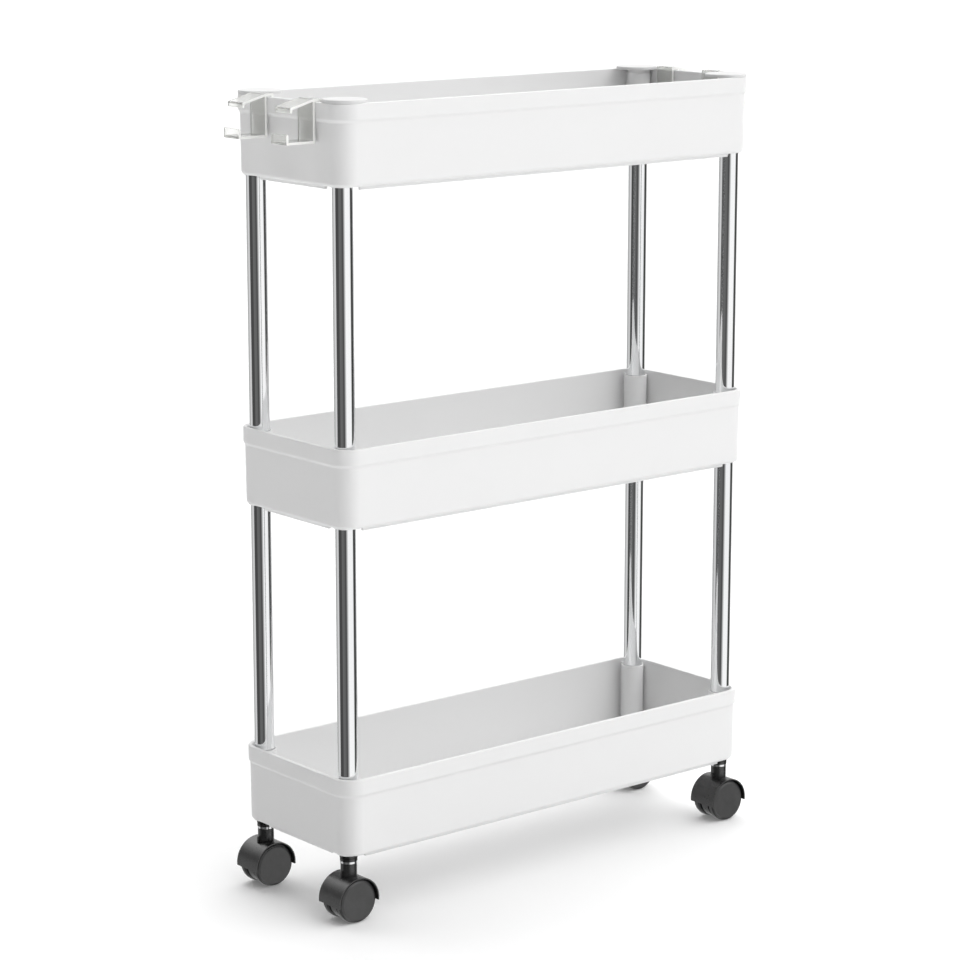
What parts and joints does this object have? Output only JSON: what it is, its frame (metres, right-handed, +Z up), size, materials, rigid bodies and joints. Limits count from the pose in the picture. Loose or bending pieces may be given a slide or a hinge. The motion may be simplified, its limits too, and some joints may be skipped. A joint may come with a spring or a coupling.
{
  "type": "slim rolling storage cart",
  "caption": "Slim rolling cart with deep white trays on chromed corner tubes, lift-off side hooks and swivelling twin-wheel casters.",
  "frame": {"origin": "on the floor, under the middle of the cart", "axes": "+X along the trays to the right, +Y across them to the back, +Z up"},
  "size_m": [0.4504, 0.134, 0.6016],
  "materials": {
    "tray_white": "satin moulded polypropylene",
    "cap_white": "satin moulded polypropylene",
    "tube_chrome": "bright chromed steel tube",
    "hook_clear": "clear frosted plastic",
    "bush_black": "smooth black nylon",
    "stem_steel": "zinc-plated steel",
    "hood_black": "satin black nylon",
    "wheel_black": "satin black nylon"
  },
  "bodies": {
    "frame": {"tray_bottom": "tray_white", "tray_middle": "tray_white", "tray_top": "tray_white", "tube_lower_front_left": "tube_chrome", "tube_lower_back_left": "tube_chrome", "tube_lower_front_right": "tube_chrome", "tube_lower_back_right": "tube_chrome", "tube_upper_front_left": "tube_chrome", "tube_upper_back_left": "tube_chrome", "tube_upper_front_right": "tube_chrome", "tube_upper_back_right": "tube_chrome", "cap_front_left": "cap_white", "cap_back_left": "cap_white", "cap_front_right": "cap_white", "cap_back_right": "cap_white", "bush_front_left": "bush_black", "bush_back_left": "bush_black", "bush_front_right": "bush_black", "bush_back_right": "bush_black", "stem_front_left": "stem_steel", "stem_back_left": "stem_steel", "stem_front_right": "stem_steel", "stem_back_right": "stem_steel"},
    "caster_front_left": {"hood_front_left": "hood_black", "axle_front_left": "stem_steel"},
    "wheel_front_left_a": {"wheel_front_left_a": "wheel_black"},
    "wheel_front_left_b": {"wheel_front_left_b": "wheel_black"},
    "caster_back_left": {"hood_back_left": "hood_black", "axle_back_left": "stem_steel"},
    "wheel_back_left_a": {"wheel_back_left_a": "wheel_black"},
    "wheel_back_left_b": {"wheel_back_left_b": "wheel_black"},
    "caster_front_right": {"hood_front_right": "hood_black", "axle_front_right": "stem_steel"},
    "wheel_front_right_a": {"wheel_front_right_a": "wheel_black"},
    "wheel_front_right_b": {"wheel_front_right_b": "wheel_black"},
    "caster_back_right": {"hood_back_right": "hood_black", "axle_back_right": "stem_steel"},
    "wheel_back_right_a": {"wheel_back_right_a": "wheel_black"},
    "wheel_back_right_b": {"wheel_back_right_b": "wheel_black"},
    "hook_left_front": {"hook_left_front": "hook_clear"},
    "hook_left_back": {"hook_left_back": "hook_clear"},
    "hook_right_front": {"hook_right_front": "hook_clear"},
    "hook_right_back": {"hook_right_back": "hook_clear"}
  },
  "joints": [
    {"name": "swivel_front_left", "type": "hinge", "parent": "frame", "child": "caster_front_left", "pos_m": [-0.1877, -0.0522, 0.04], "axis": [0, 0, 1], "continuous": true},
    {"name": "roll_front_left_a", "type": "hinge", "parent": "caster_front_left", "child": "wheel_front_left_a", "pos_m": [-0.1877, -0.0522, 0.0164], "axis": [0, 1, 0], "continuous": true},
    {"name": "roll_front_left_b", "type": "hinge", "parent": "caster_front_left", "child": "wheel_front_left_b", "pos_m": [-0.1877, -0.0522, 0.0164], "axis": [0, 1, 0], "continuous": true},
    {"name": "swivel_back_left", "type": "hinge", "parent": "frame", "child": "caster_back_left", "pos_m": [-0.1877, 0.0522, 0.04], "axis": [0, 0, 1], "continuous": true},
    {"name": "roll_back_left_a", "type": "hinge", "parent": "caster_back_left", "child": "wheel_back_left_a", "pos_m": [-0.1877, 0.0522, 0.0164], "axis": [0, 1, 0], "continuous": true},
    {"name": "roll_back_left_b", "type": "hinge", "parent": "caster_back_left", "child": "wheel_back_left_b", "pos_m": [-0.1877, 0.0522, 0.0164], "axis": [0, 1, 0], "continuous": true},
    {"name": "swivel_front_right", "type": "hinge", "parent": "frame", "child": "caster_front_right", "pos_m": [0.1877, -0.0522, 0.04], "axis": [0, 0, 1], "continuous": true},
    {"name": "roll_front_right_a", "type": "hinge", "parent": "caster_front_right", "child": "wheel_front_right_a", "pos_m": [0.1877, -0.0522, 0.0164], "axis": [0, 1, 0], "continuous": true},
    {"name": "roll_front_right_b", "type": "hinge", "parent": "caster_front_right", "child": "wheel_front_right_b", "pos_m": [0.1877, -0.0522, 0.0164], "axis": [0, 1, 0], "continuous": true},
    {"name": "swivel_back_right", "type": "hinge", "parent": "frame", "child": "caster_back_right", "pos_m": [0.1877, 0.0522, 0.04], "axis": [0, 0, 1], "continuous": true},
    {"name": "roll_back_right_a", "type": "hinge", "parent": "caster_back_right", "child": "wheel_back_right_a", "pos_m": [0.1877, 0.0522, 0.0164], "axis": [0, 1, 0], "continuous": true},
    {"name": "roll_back_right_b", "type": "hinge", "parent": "caster_back_right", "child": "wheel_back_right_b", "pos_m": [0.1877, 0.0522, 0.0164], "axis": [0, 1, 0], "continuous": true},
    {"name": "lift_hook_left_front", "type": "slide", "parent": "frame", "child": "hook_left_front", "axis": [0, 0, 1], "range_m": [0, 0.05]},
    {"name": "lift_hook_left_back", "type": "slide", "parent": "frame", "child": "hook_left_back", "axis": [0, 0, 1], "range_m": [0, 0.05]},
    {"name": "lift_hook_right_front", "type": "slide", "parent": "frame", "child": "hook_right_front", "axis": [0, 0, 1], "range_m": [0, 0.05]},
    {"name": "lift_hook_right_back", "type": "slide", "parent": "frame", "child": "hook_right_back", "axis": [0, 0, 1], "range_m": [0, 0.05]}
  ]
}
